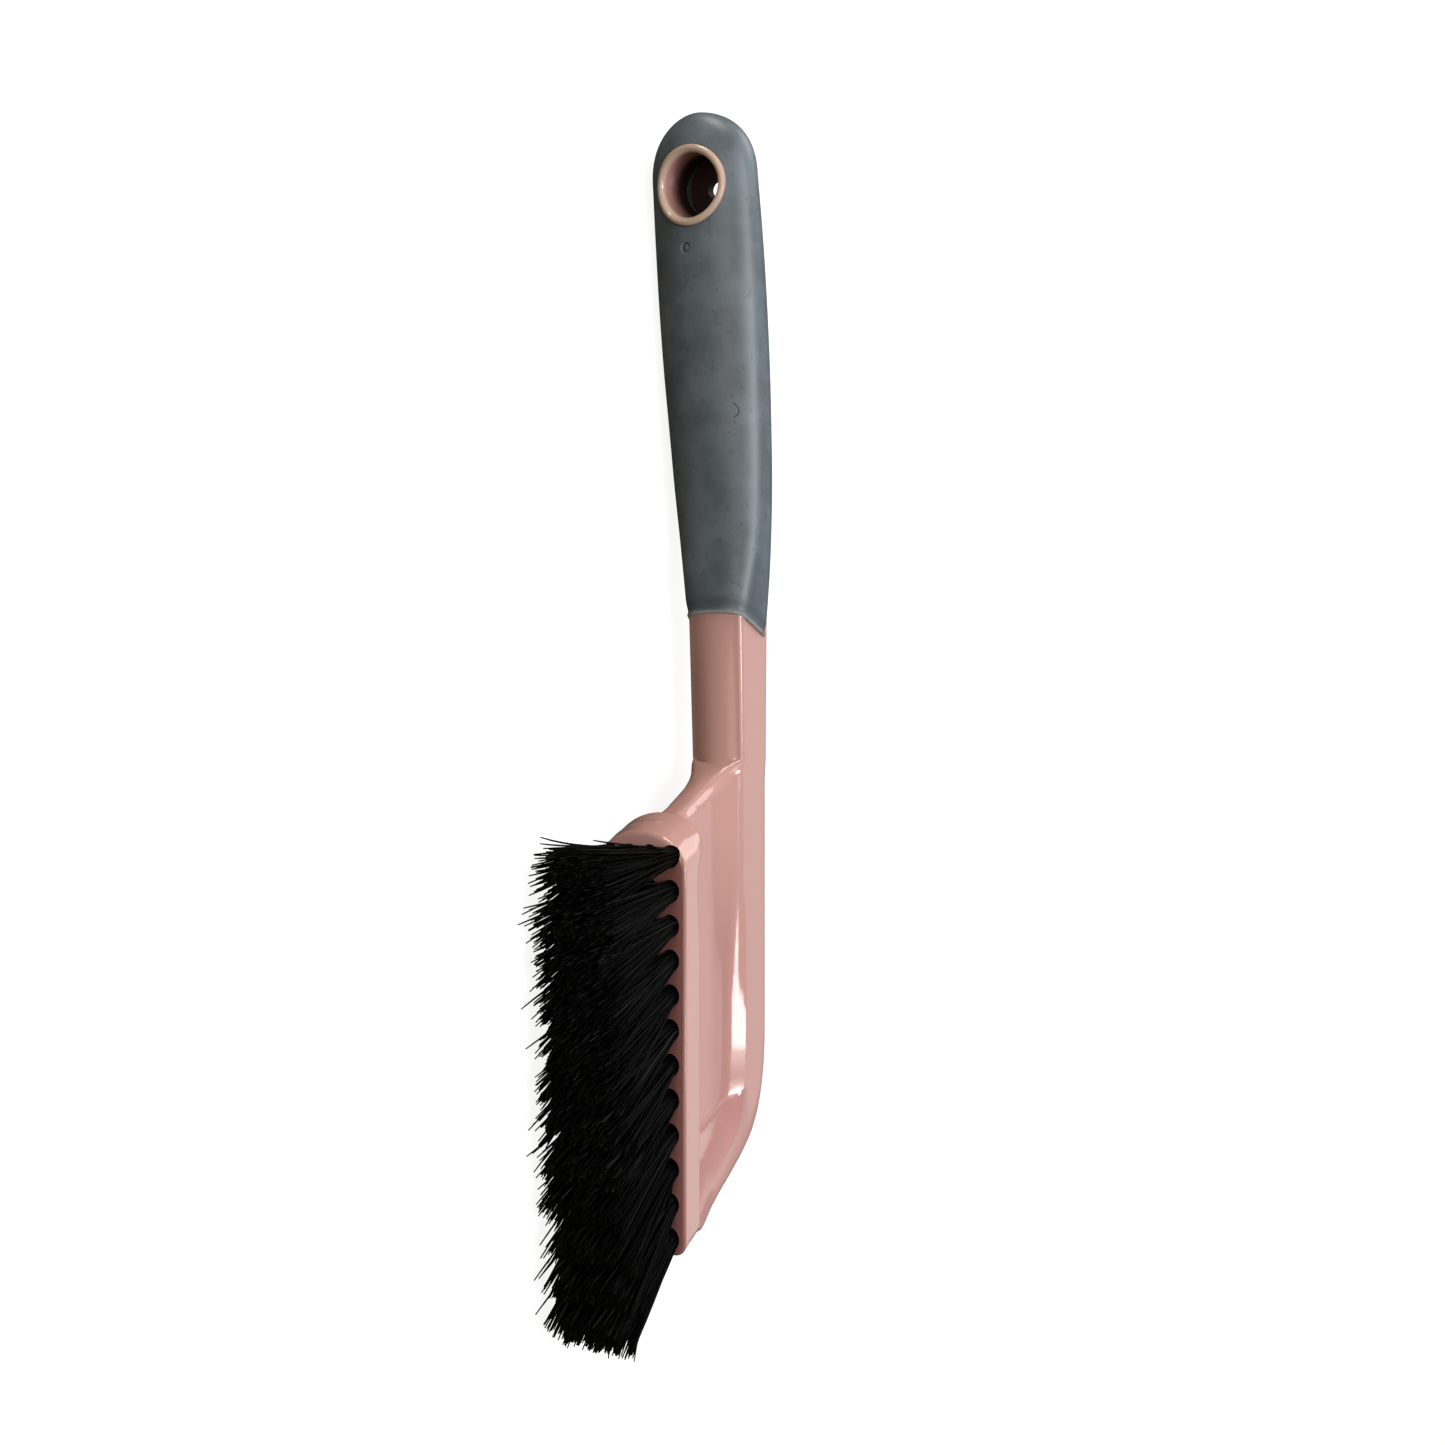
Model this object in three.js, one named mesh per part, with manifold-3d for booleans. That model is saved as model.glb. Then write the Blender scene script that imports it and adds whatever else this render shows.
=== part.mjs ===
// Hand brush with a soft grip: one pink moulding, one grey sleeve, forty-eight tufts.
// Millimetres. X runs from the handle's end to the toe, Y from the working side to the
// spine, Z across the brush. The brush lies on its side, so Z is up.
import * as THREE from "three";
import ManifoldModule from "manifold-3d";

const wasm = await ManifoldModule();
wasm.setup();
const { Manifold, Mesh } = wasm;

// ---- driving dimensions -------------------------------------------------------------
const GAP = 0.3;                 // clearance between touching pieces
const WALL = 3.0;                // thickness of the soft sleeve
const SPINE_Y = 45.4;            // top of the spine
const NECK_Y = 33.0;             // underside of the neck
const NECK_HALF = 7.5;           // half width of neck and spine
const NECK_R = 1.9;              // rounding along the neck's edges
const WEB_HALF = 4.3;            // half thickness of the thin web
const PLATE_T = 6.5;             // thickness of the bristle plate
const PLATE_HALF = 12.6;         // half width of the bristle plate
const HEEL = { low: 172.2, high: 168.7, corner: 9.0 };
const TOE = { low: 268.9, lean: 0.49, corner: 3.2, bend: 15 };
const CREASE_X = 156.8;          // where the neck's underside turns down
const SHOULDER = [[156.8, NECK_Y], [158.7, 30.2], [163.3, 23.4], [167.9, 15.2], [169.6, 11.0],
  [170.6, 4.0]];
const POCKET = { top: [235.5, 36.3], depth: 13.8 };
const RIM = 12.2;                // height of the spine's thick edge
const HOLE = { x: 19.0, y: 20.3, tilt: 10, wide: 7.5, narrow: 2.3, step: 11.5, ring: 9.6 };
const TUFT = { rows: 4, cols: 12, rowPitch: 5.6, pitch: 7.9, first: 178.2 };
const BUNDLE = { r: 2.35, hole: 2.65, deep: 4.8, length: 27, tipX: 3.3, tipZ: 2.55 };
const LEAN = [8, 17, 21, 24, 26.5, 29, 31.5, 34, 37, 40, 43, 46];
const GRIP_END = { low: 122.2, shear: 0.45 };

// handle stations: x, centre y, half width, half thickness, squareness
const HANDLE = [
  [16, 28.1, 14.19, 8.05, 2.05], [32, 30.1, 14.48, 8.5, 2.05], [46, 31.7, 14.47, 8.9, 2.05],
  [61, 33.4, 14.22, 9.0, 2.05], [75, 35.0, 13.67, 9.0, 2.05], [90, 36.5, 12.89, 8.4, 2.2],
  [104, 37.6, 11.6, 7.7, 2.5], [117, 37.9, 9.6, 7.7, 3.2], [126, 37.8, 8.5, 7.8, 3.8],
  [134, 37.9, 8.2, 7.6, 4.0],
];
const END_LENGTH = 15.2;         // length of the rounded end of the handle

// ---- small helpers ------------------------------------------------------------------
const clamp = (v, a = 0, b = 1) => Math.min(b, Math.max(a, v));
const lerp = (a, b, t) => a + (b - a) * t;
const smooth = (t) => { const u = clamp(t); return u * u * (3 - 2 * u); };

// smooth curve through table rows keyed by their first column
function along(rows, x) {
  let i = 0;
  while (i < rows.length - 2 && x > rows[i + 1][0]) i += 1;
  const at = (k) => rows[clamp(k, 0, rows.length - 1)];
  const p0 = at(i - 1), p1 = at(i), p2 = at(i + 1), p3 = at(i + 2);
  const t = clamp((x - p1[0]) / (p2[0] - p1[0]));
  return p1.map((v, k) => {
    const m1 = k ? (p2[k] - p0[k]) / (p2[0] - p0[0] || 1) * (p2[0] - p1[0]) : 0;
    const m2 = k ? (p3[k] - p1[k]) / (p3[0] - p1[0] || 1) * (p2[0] - p1[0]) : 0;
    const t2 = t * t, t3 = t2 * t;
    return (2 * t3 - 3 * t2 + 1) * v + (t3 - 2 * t2 + t) * m1
      + (-2 * t3 + 3 * t2) * p2[k] + (t3 - t2) * m2;
  });
}

function broken(rows, x) {
  if (x <= rows[0][0]) return rows[0][1];
  for (let i = 1; i < rows.length; i += 1) {
    if (x <= rows[i][0]) {
      return lerp(rows[i - 1][1], rows[i][1], (x - rows[i - 1][0]) / (rows[i][0] - rows[i - 1][0]));
    }
  }
  return rows[rows.length - 1][1];
}

// closed skin over equal rings of points, fanned shut at both ends
function loft(rings) {
  const n = rings[0].length, verts = [], tris = [];
  rings.forEach((ring) => ring.forEach((p) => verts.push(p)));
  for (let i = 0; i < rings.length - 1; i += 1) {
    for (let j = 0; j < n; j += 1) {
      const a = i * n + j, b = i * n + (j + 1) % n, c = a + n, d = b + n;
      tris.push([a, b, d], [a, d, c]);
    }
  }
  const cap = (base, ring, flip) => {
    const mid = [0, 1, 2].map((k) => ring.reduce((s, p) => s + p[k], 0) / n);
    const m = verts.push(mid) - 1;
    for (let j = 0; j < n; j += 1) {
      const a = base + j, b = base + (j + 1) % n;
      tris.push(flip ? [m, b, a] : [m, a, b]);
    }
  };
  cap(0, rings[0], true);
  cap((rings.length - 1) * n, rings[rings.length - 1], false);
  return solid(verts, tris);
}

function solid(verts, tris) {
  const make = (list) => new Manifold(new Mesh({
    numProp: 3,
    vertProperties: Float32Array.from(verts.flat()),
    triVerts: Uint32Array.from(list.flat()),
  }));
  const one = make(tris);
  return one.volume() > 0 ? one : make(tris.map(([a, b, c]) => [a, c, b]));
}

function toGeometry(m) {
  const out = m.getMesh(), g = new THREE.BufferGeometry();
  const pos = new Float32Array(out.numVert * 3);
  for (let i = 0; i < out.numVert; i += 1) {
    for (let k = 0; k < 3; k += 1) pos[i * 3 + k] = out.vertProperties[i * out.numProp + k];
  }
  g.setAttribute("position", new THREE.BufferAttribute(pos, 3));
  g.setIndex(Array.from(out.triVerts));
  g.computeVertexNormals();
  return g;
}

// ---- handle and grip ----------------------------------------------------------------
// one squarish-oval ring of the handle, brought in by `inset`
function handleRing(x, inset, count, sheared) {
  const [, cy, a, b, n] = along(HANDLE, Math.max(x, HANDLE[0][0]));
  const start = HANDLE[0][0], t = clamp((start - x) / (END_LENGTH + 0.8));
  const round = Math.sqrt(Math.max(0, 1 - t * t));
  const slope = (HANDLE[1][1] - HANDLE[0][1]) / (HANDLE[1][0] - HANDLE[0][0]);
  const mid = x < start ? cy - (start - x) * slope * 0.8 : cy;
  const ring = [];
  for (let k = 0; k < count; k += 1) {
    const w = (k + 0.5) / count * Math.PI * 2, cw = Math.cos(w), sw = Math.sin(w);
    const e = 2 / n;
    const z = Math.sign(cw) * Math.abs(cw) ** e * (a * round - inset);
    const y = Math.sign(sw) * Math.abs(sw) ** e * (b * (0.35 * round + 0.65 * Math.sqrt(round)) - inset);
    const lean = sheared ? GRIP_END.shear * smooth((x - 88) / 30) : 0;
    ring.push([x + lean * (mid + y - NECK_Y), mid + y, z]);
  }
  return ring;
}

function handleLoft(inset, from, to, count, sheared) {
  const stops = [from];
  for (const t of [0.02, 0.07, 0.15, 0.27, 0.43, 0.64, 0.88]) stops.push(from + t * (16 - from));
  for (let x = 18; x < to - 2; x += 9) stops.push(x);
  stops.push(to);
  return loft(stops.map((x) => handleRing(x, inset, count, sheared)));
}

// rounded rectangle of the neck at one station
function neckRing(x, halfW, low, high, r, steps = 3) {
  const ring = [], cy = (low + high) / 2, hh = (high - low) / 2;
  const corners = [[1, -1, -90], [1, 1, 0], [-1, 1, 90], [-1, -1, 180]];
  corners.forEach(([sz, sy, a0]) => {
    for (let k = 0; k <= steps; k += 1) {
      const a = (a0 + 90 * k / steps) * Math.PI / 180;
      ring.push([x, cy + sy * (hh - r) + Math.sin(a) * r, sz * (halfW - r) + Math.cos(a) * r]);
    }
  });
  return ring;
}

// bore frame: u runs into the handle from the working side, tilted with the handle
function boreCylinder(r1, r2, from, to, count = 32) {
  const t = HOLE.tilt * Math.PI / 180, u = [-Math.sin(t), Math.cos(t)], v = [Math.cos(t), Math.sin(t)];
  const ring = (r, s) => Array.from({ length: count }, (_, k) => {
    const w = k / count * Math.PI * 2;
    const p = Math.cos(w) * r;
    return [HOLE.x + u[0] * s + v[0] * p, HOLE.y + u[1] * s + v[1] * p, Math.sin(w) * r];
  });
  return loft([ring(r1, from), ring(r2, to)]);
}

// ---- head ---------------------------------------------------------------------------
// outline of the head seen from the side: height of the spine at x
function spineTop(x) {
  const low = TOE.low - 1.0, line = (low - x) / TOE.lean, r = TOE.bend;
  const k = clamp(0.5 + 0.5 * (line - SPINE_Y) / r, 0, 1);
  return lerp(line, SPINE_Y, k) - r * k * (1 - k) * 0.9;
}

// half thickness of web, spine and toe at a point of the side view
function headHalf(x, y) {
  const top = spineTop(x), rim = 1 - smooth((top - y - (RIM - 0.8)) / 1.4);
  let h = lerp(WEB_HALF, NECK_HALF, rim);
  const edge = POCKET.top[0] + 0.481 * (POCKET.top[1] - y);
  const u = clamp((x - edge) * 0.9 / POCKET.depth);
  const outer = NECK_HALF + 5.2 * clamp(1 - y / 40) ** 1.1;
  h = Math.max(h, lerp(WEB_HALF, outer, Math.sin(clamp(u * 1.15) * Math.PI / 2)));
  return h;
}

// web, spine and toe as one skin; rows follow the underside and the spine
function headBody() {
  const xs = [150, 155, CREASE_X, 158.7, 161, 163.3, 165.6, 167.9, 169.6, 170.6, 172, 176, 190, 205,
    220, 230, 236, 240, 243, 246, 249, 252, 255, 258, 260.5, 263, 265, 266.2];
  const sections = xs.map((x) => {
    const top = spineTop(x), low = x < CREASE_X ? NECK_Y : broken(SHOULDER, x);
    const room = top - low, sq = Math.min(1, room / (RIM + 3));
    const ys = [0, 0.25, 0.9].map((d) => low + d * sq);
    const rimLow = top - (RIM + 0.7) * sq, rimHigh = top - (RIM - 0.9) * sq;
    for (const t of [0.2, 0.4, 0.6, 0.8]) ys.push(lerp(ys[2], rimLow, t));
    ys.push(rimLow, lerp(rimLow, rimHigh, 0.5), rimHigh);
    ys.push(lerp(rimHigh, top, 0.45), top - 1.9 * sq, top - 1.0 * sq, top - 0.3 * sq, top);
    const half = ys.map((y, k) => {
      let h = headHalf(x, y);
      if (x <= CREASE_X) h = NECK_HALF;
      else if (x < 166) h = lerp(NECK_HALF, h, smooth((x - CREASE_X) / 3 * clamp((rimHigh - y) / 3 + 0.4)));
      const in_ = { 0: 0.9, 1: 0.3, [ys.length - 1]: 1.9, [ys.length - 2]: 0.9, [ys.length - 3]: 0.25 }[k];
      return h - (in_ ?? 0);
    });
    const right = ys.map((y, k) => [x, y, half[k]]);
    const left = ys.map((y, k) => [x, y, -half[k]]).reverse();
    return right.concat(left);
  });
  return loft(sections);
}

// outline of the bristle plate at a height above its underside, brought in by `inset`
function plateRing(y, inset) {
  const heel = lerp(HEEL.low, HEEL.high, y / PLATE_T) + inset;
  const toe = TOE.low - TOE.lean * y - inset, half = PLATE_HALF - inset;
  const ring = [], steps = 7;
  const arc = (cx, cz, r, a0, squash = 1) => {
    for (let k = 0; k <= steps; k += 1) {
      const a = (a0 + 90 * k / steps) * Math.PI / 180;
      ring.push([cx + Math.cos(a) * r * squash, y, cz + Math.sin(a) * r]);
    }
  };
  const rt = TOE.corner - inset, rh = HEEL.corner - inset;
  arc(toe - rt, half - rt, rt, 0);
  arc(heel + rh, half - rh, rh, 90);
  arc(heel + rh, -half + rh, rh, 180);
  arc(toe - rt, -half + rt, rt, 270);
  return ring;
}

function plateBody() {
  return loft([[0, 0.8], [0.25, 0.25], [0.8, 0], [PLATE_T - 0.7, 0], [PLATE_T - 0.2, 0.2],
    [PLATE_T, 0.7]].map(([y, i]) => plateRing(y, i)));
}

// ---- tufts --------------------------------------------------------------------------
function tuftPlaces() {
  const list = [];
  for (let r = 0; r < TUFT.rows; r += 1) {
    for (let c = 0; c < TUFT.cols; c += 1) {
      list.push({ name: `tuft_${r + 1}_${String(c + 1).padStart(2, "0")}`,
        x: TUFT.first + c * TUFT.pitch, z: (r - (TUFT.rows - 1) / 2) * TUFT.rowPitch, lean: LEAN[c] });
    }
  }
  return list;
}

// round bundle: straight in its hole, leaning toward the toe below the plate
function tuftSolid({ x, z, lean }) {
  const a = lean * Math.PI / 180, dir = [Math.sin(a), -Math.cos(a)], side = [Math.cos(a), Math.sin(a)];
  const count = 10, tipZ = z * -0.06;
  const ring = (s, rx, rz, bend) => Array.from({ length: count }, (_, k) => {
    const w = (k + 0.5) / count * Math.PI * 2, p = Math.cos(w) * rx, q = Math.sin(w) * rz;
    const t = s / BUNDLE.length;
    if (bend === 0) return [x + p, -s, z + q];
    return [x + dir[0] * s + lerp(p, side[0] * p, bend), dir[1] * s + side[1] * p * bend,
      z + tipZ * t + q];
  });
  return loft([
    ring(-(BUNDLE.deep - GAP), BUNDLE.r, BUNDLE.r, 0), ring(0.15, BUNDLE.r, BUNDLE.r, 0),
    ring(2.2, BUNDLE.r, BUNDLE.r, 0.5), ring(6, 2.45, 2.4, 1),
    ring(15, 2.8, 2.5, 1), ring(BUNDLE.length, BUNDLE.tipX, BUNDLE.tipZ, 1),
  ]);
}

function tuftHole({ x, z }) {
  const count = 12, ring = (y) => Array.from({ length: count }, (_, k) => {
    const w = (k + 0.5) / count * Math.PI * 2;
    return [x + Math.cos(w) * BUNDLE.hole, y, z + Math.sin(w) * BUNDLE.hole];
  });
  return loft([ring(-1), ring(BUNDLE.deep)]);
}

// ---- assembly -----------------------------------------------------------------------
const places = tuftPlaces();

function buildBody() {
  const core = handleLoft(WALL + GAP, 4.2, 124, 28, false);
  const neck = loft([112, 120, 128, 140, 152].map((x) => neckRing(x, NECK_HALF,
    lerp(NECK_Y, NECK_Y - 0.1, clamp((128 - x) / 16)), SPINE_Y, NECK_R)));
  const boss = boreCylinder(HOLE.ring, HOLE.ring, -3, 9.0).add(boreCylinder(7.4, 7.4, 8.5, 22))
    .intersect(handleLoft(-0.4, -0.4, 60, 36, false));
  let body = core.add(neck).add(boss).add(headBody()).add(plateBody());
  body = body.subtract(boreCylinder(HOLE.wide, HOLE.wide, -2, HOLE.step, 36))
    .subtract(boreCylinder(HOLE.narrow, HOLE.narrow, HOLE.step - 1, 20, 28));
  return body.subtract(Manifold.union(places.map(tuftHole)));
}

function buildGrip() {
  const outer = handleLoft(0, -0.0, GRIP_END.low, 36, true);
  const inner = handleLoft(WALL, 4.0, 125, 28, false);
  const slot = loft([108, 122, 140].map((x) => neckRing(x, NECK_HALF + GAP, NECK_Y - GAP - 0.1,
    SPINE_Y + GAP, NECK_R + GAP)));
  return outer.subtract(inner).subtract(slot)
    .subtract(boreCylinder(HOLE.ring + GAP, HOLE.ring + GAP, -6, 9.3, 32))
    .subtract(boreCylinder(7.4 + GAP, 7.4 + GAP, 8, 24, 32));
}

const looks = {
  brush_body: { color: 0xd8aaa6, roughness: 0.3 },
  soft_grip: { color: 0x7d8a92, roughness: 0.75 },
  tuft: { color: 0x16171a, roughness: 0.6 },
};

function mesh(name, m, look) {
  const out = new THREE.Mesh(toGeometry(m), new THREE.MeshStandardMaterial(looks[look]));
  out.name = name;
  return out;
}

const group = new THREE.Group();
group.name = "hand_brush";
group.add(mesh("brush_body", buildBody(), "brush_body"));
group.add(mesh("soft_grip", buildGrip(), "soft_grip"));
places.forEach((p) => group.add(mesh(p.name, tuftSolid(p), "tuft")));

// origin at the bottom centre of the whole brush
const box = new THREE.Box3().setFromObject(group);
const shift = [-(box.min.x + box.max.x) / 2, -(box.min.y + box.max.y) / 2, -box.min.z];
group.children.forEach((m) => m.geometry.translate(...shift));

export default group;
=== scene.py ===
import math

import bmesh
import bpy
from mathutils import Matrix, Vector


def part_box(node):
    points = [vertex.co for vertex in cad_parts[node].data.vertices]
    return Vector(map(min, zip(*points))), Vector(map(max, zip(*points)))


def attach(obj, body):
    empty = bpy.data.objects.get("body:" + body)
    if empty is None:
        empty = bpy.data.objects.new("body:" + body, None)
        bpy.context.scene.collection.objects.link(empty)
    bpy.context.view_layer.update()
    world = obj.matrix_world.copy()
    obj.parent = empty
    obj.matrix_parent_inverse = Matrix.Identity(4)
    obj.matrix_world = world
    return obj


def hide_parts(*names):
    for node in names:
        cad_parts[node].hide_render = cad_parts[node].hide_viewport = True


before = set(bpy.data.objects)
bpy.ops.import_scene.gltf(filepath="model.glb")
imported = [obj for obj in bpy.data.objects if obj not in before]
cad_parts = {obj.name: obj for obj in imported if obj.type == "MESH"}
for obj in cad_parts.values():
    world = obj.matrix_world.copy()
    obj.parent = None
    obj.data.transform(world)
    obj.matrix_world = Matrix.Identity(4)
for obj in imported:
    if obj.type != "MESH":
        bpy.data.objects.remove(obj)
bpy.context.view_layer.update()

# ---- where the brush lies ------------------------------------------------------------
# Brush measures are in millimetres: x from the handle's end to the toe, y up from the
# underside of the bristle plate to the spine, z from the middle plane to either side.
MM = 0.001
GRIP_LOW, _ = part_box("soft_grip")
BODY_LOW, BODY_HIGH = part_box("brush_body")
SPINE = 45.4
START = Vector((GRIP_LOW[0], BODY_HIGH[1] - SPINE * MM, (BODY_LOW[2] + BODY_HIGH[2]) / 2))


def at(x, y, z):
    return START + Vector((x, y, z)) * MM


# ---- measures of the moulding --------------------------------------------------------
GAP = 0.3  # air between the sleeve and the core
SLEEVE = 3.0
CORE_START, CORE_END = 4.6, 124
HOLLOW_START, HOLLOW_END = 4.2, 125
SLOT_AIR = 0.05
NECK_START, CREASE = 112.0, 156.8
NECK_LOW_START, NECK_LOW = 31.7, 33.4
NECK_HALF_START, NECK_HALF = 7.8, 7.4
NECK_CROWN_START, NECK_CROWN, SHOULDER_CROWN = 0.7, 1.9, 0.3
CROWN_RUN, CROWN_FADE = 26, 6
RIDGE_NECK, RIDGE_SHOULDER = 1.9, 2.9
CREST_SPINE, CREST_TOE = 1.7, 2.4
WEB_HALF = 4.3
PLATE_THICK = 6.5
PLATE_HALF = 12.6
HEEL_LOW, HEEL_HIGH, HEEL_LENGTH, HEEL_RISE = 172.2, 168.7, 9.4, 4.4
TOE_LOW, TOE_LEAN, TOE_CORNER = 268.9, 0.49, 3.2
SHOULDER = ((156.8, 33.4), (158.7, 30.2), (163.3, 23.4), (167.9, 15.2), (169.6, 11.0), (170.6, 4.0))
TOE_CURVE = ((220, 45.4), (228, 45.3), (236, 44.5), (243, 42.6), (248, 39.6), (252, 34.8), (256, 28.0),
             (260, 19.6), (264, 10.8), (267, 2.4))
POCKET_TOP, POCKET_LEAN, POCKET_WALL = (235.5, 36.3), 0.481, 13.8

# the rim under the spine: depth where it starts and ends, then how the web swells into it
RIM_START, RIM_END = 17.0, 9.8
RIM_FOOT, RIM_RUN, RIM_BEND, RIM_STEEP = 16.6, 6.3, 0.55, 1.253
SLANT_FOOT, SLANT_RUN, SLANT_POWER = 17, 16.4, 3.8
HEEL_SWELL, SWELL_RUN, SWELL_POWER = 176, 44, 1.6
OUTER_SWELL, OUTER_HEIGHT, OUTER_POWER = 4.6, 40, 1.1
TOE_WIDEN, TOE_WIDEN_RUN, TOE_WIDEN_HEIGHT = 246, 12, 9
EDGE_AIR = 0.35

# rounding is spread over a steep edge no further than these slopes allow
LEAST_FLAT_LOW, LEAST_FLAT_TOP = 0.37, 0.5
FULL_HEIGHT = 20
ROUNDING = (0, 0.04, 0.13, 0.27, 0.45, 0.7, 1.0)

HOLE_X, HOLE_Y, HOLE_TILT = 19.0, 20.3, math.radians(10)
HOLE_WIDE, HOLE_NARROW, HOLE_STEP, HOLE_RING = 7.5, 2.3, 12.0, 9.6
FRONT_LIP, REAR_LIP = 9.0, 6.6
REAR_GUESS, REAR_SKIN = 16.5, 16.6
CAP_LENGTH, CAP_POWER, CAP_STEPS = 15.5, 2.3, 18
CAP_DROP, CAP_FLAT = 0.1, 0.35
GRIP_END, GRIP_SHEAR, SHEAR_START, SHEAR_RUN = 122.2, 0.45, 88, 30
GATE, NICK = (33.5, -1.5), (72.7, 7.8)

# x, centre height, half width, half thickness, squareness
HANDLE = (
    (16, 28.1, 14.19, 8.05, 2.05),
    (32, 30.1, 14.48, 8.5, 2.05),
    (46, 31.7, 14.47, 8.9, 2.05),
    (61, 33.4, 14.22, 9.0, 2.05),
    (75, 35.0, 13.67, 9.0, 2.05),
    (90, 36.5, 12.89, 8.4, 2.2),
    (104, 37.6, 11.6, 7.7, 2.5),
    (117, 37.95, 9.6, 7.7, 3.2),
    (126, 38.0, 8.3, 7.8, 3.8),
    (134, 38.2, 8.0, 7.6, 4.0),
)
HANDLE_START = HANDLE[0][0]

TUFT_ROWS, TUFT_COLUMNS = 4, 12
ROW_PITCH, TUFT_PITCH, FIRST_TUFT = 5.6, 7.9, 178.2
TUFT_HOLE, TUFT_DEEP = 2.65, 4.8
BRISTLE = 27.0
LEANS = (8, 17, 21, 24, 26.5, 29, 31.5, 34, 37, 40, 43, 46)  # degrees towards the toe
GOLDEN_TURN = 2.399963

# how far filaments stray: lean in radians, sideways as a share of the way out
STRAY_LEAN, WILD_LEAN, FAN_LEAN, CURL_LEAN = 0.055, 0.12, 0.05, 0.05
STRAY_ASIDE, WILD_ASIDE = 0.05, 0.11
LENGTH_VARIES, TIP_TAPER, TIP_POWER = 0.03, 0.4, 8.0
BEND_PER_METRE = 400.0

# ---- colours -------------------------------------------------------------------------
PINK_DEEP, PINK_PALE = (0.535, 0.29, 0.262, 1), (0.585, 0.33, 0.305, 1)
# painted light and shade on the pink: a paler plate side, shade between the tufts, at the rim's foot,
# on the hole's wall and far end, and a sheen on the hole's lip
PLATE_SIDE_PAINTED_LIGHT, PINK_TUFT_SHADE = (0.60, 0.365, 0.34, 1), (0.20, 0.055, 0.05, 1)
PINK_FOOT_SHADE, PINK_WELL_SHADE = (0.44, 0.215, 0.205, 1), (0.30, 0.13, 0.12, 1)
BORE_PAINTED_SHADE, LIP_PAINTED_SHEEN = (0.02, 0.003, 0.002, 1), (0.60, 0.45, 0.365, 1)
BLUE_DEEP, BLUE_PALE = (0.080, 0.101, 0.124, 1), (0.145, 0.176, 0.218, 1)
# painted shade at the sleeve's end, beside the real colour of the grip's marks; below, a painted
# highlight on the sleeve's edge
BLUE_PAINTED_SHADE, BLUE_MARK = (0.06, 0.072, 0.088, 1), (0.05, 0.06, 0.07, 1)
SLEEVE_EDGE_HIGHLIGHT = (0.36, 0.36, 0.37, 1)
BLACK_DEEP, BLACK_PALE = (0.0008, 0.0008, 0.0009, 1), (0.02, 0.02, 0.021, 1)


# ---- curves and blends ---------------------------------------------------------------
def clamp(v, low=0.0, high=1.0):
    return min(high, max(low, v))


def lerp(a, b, t):
    return a + (b - a) * t


def ease(t):
    t = clamp(t)
    return t * t * (3 - 2 * t)


def along(rows, x):
    """A smooth curve through rows keyed by their first value."""
    i = 0
    while i < len(rows) - 2 and x > rows[i + 1][0]:
        i += 1
    p0, p1, p2, p3 = (rows[int(clamp(k, 0, len(rows) - 1))] for k in range(i - 1, i + 3))
    t = clamp((x - p1[0]) / (p2[0] - p1[0]))
    out = []
    for k in range(len(p1)):
        m1 = (p2[k] - p0[k]) / ((p2[0] - p0[0]) or 1) * (p2[0] - p1[0])
        m2 = (p3[k] - p1[k]) / ((p3[0] - p1[0]) or 1) * (p2[0] - p1[0])
        out.append(
            (2 * t**3 - 3 * t**2 + 1) * p1[k]
            + (t**3 - 2 * t**2 + t) * m1
            + (3 * t**2 - 2 * t**3) * p2[k]
            + (t**3 - t**2) * m2
        )
    return out


def broken(rows, x):
    """Straight stretches through (x, y) rows."""
    if x <= rows[0][0]:
        return rows[0][1]
    for (x0, y0), (x1, y1) in zip(rows, rows[1:]):
        if x <= x1:
            return lerp(y0, y1, (x - x0) / (x1 - x0))
    return rows[-1][1]


def power(v, e):
    return math.copysign(abs(v) ** e, v)


def round_off(d, r):
    """How far a side has drawn in at distance d from an edge rounded by r."""
    return r - math.sqrt(max(0.0, r * r - max(0.0, r - d) ** 2))


# ---- mesh making ---------------------------------------------------------------------
def loft(rings):
    """Closed skin over equal rings, shut with one face at each end."""
    n = len(rings[0])
    verts = [p for ring in rings for p in ring]
    faces = []
    for i in range(len(rings) - 1):
        for j in range(n):
            a, b = i * n + j, i * n + (j + 1) % n
            faces.append((a, b, b + n, a + n))
    for base, ring in ((0, rings[0]), (len(verts) - n, rings[-1])):
        mid = [sum(p[k] for p in ring) / n for k in range(3)]
        verts.append(mid)
        m = len(verts) - 1
        faces += [(m, base + j, base + (j + 1) % n) for j in range(n)]
    return verts, faces


def solid(name, skin):
    verts, faces = skin
    mesh = bpy.data.meshes.new(name)
    mesh.from_pydata([at(*v) for v in verts], [], faces)
    bm = bmesh.new()
    bm.from_mesh(mesh)
    bmesh.ops.remove_doubles(bm, verts=bm.verts, dist=1e-7)
    bmesh.ops.recalc_face_normals(bm, faces=bm.faces)
    if bm.calc_volume(signed=True) < 0:
        bmesh.ops.reverse_faces(bm, faces=bm.faces)
    bm.to_mesh(mesh)
    bm.free()
    obj = bpy.data.objects.new(name, mesh)
    bpy.context.scene.collection.objects.link(obj)
    return obj


def settle(obj):
    """Turns what the modifiers make into the object's own mesh."""
    graph = bpy.context.evaluated_depsgraph_get()
    mesh = bpy.data.meshes.new_from_object(obj.evaluated_get(graph))
    obj.modifiers.clear()
    old = obj.data
    obj.data = mesh
    bpy.data.meshes.remove(old)
    return obj


def carve(obj, tool, operation):
    """Joins, cuts or keeps the overlap of two closed solids."""
    cut = obj.modifiers.new("carve", "BOOLEAN")
    cut.operation, cut.solver, cut.object = operation, "MANIFOLD", tool
    settle(obj)
    bpy.data.objects.remove(tool)
    return obj


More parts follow.
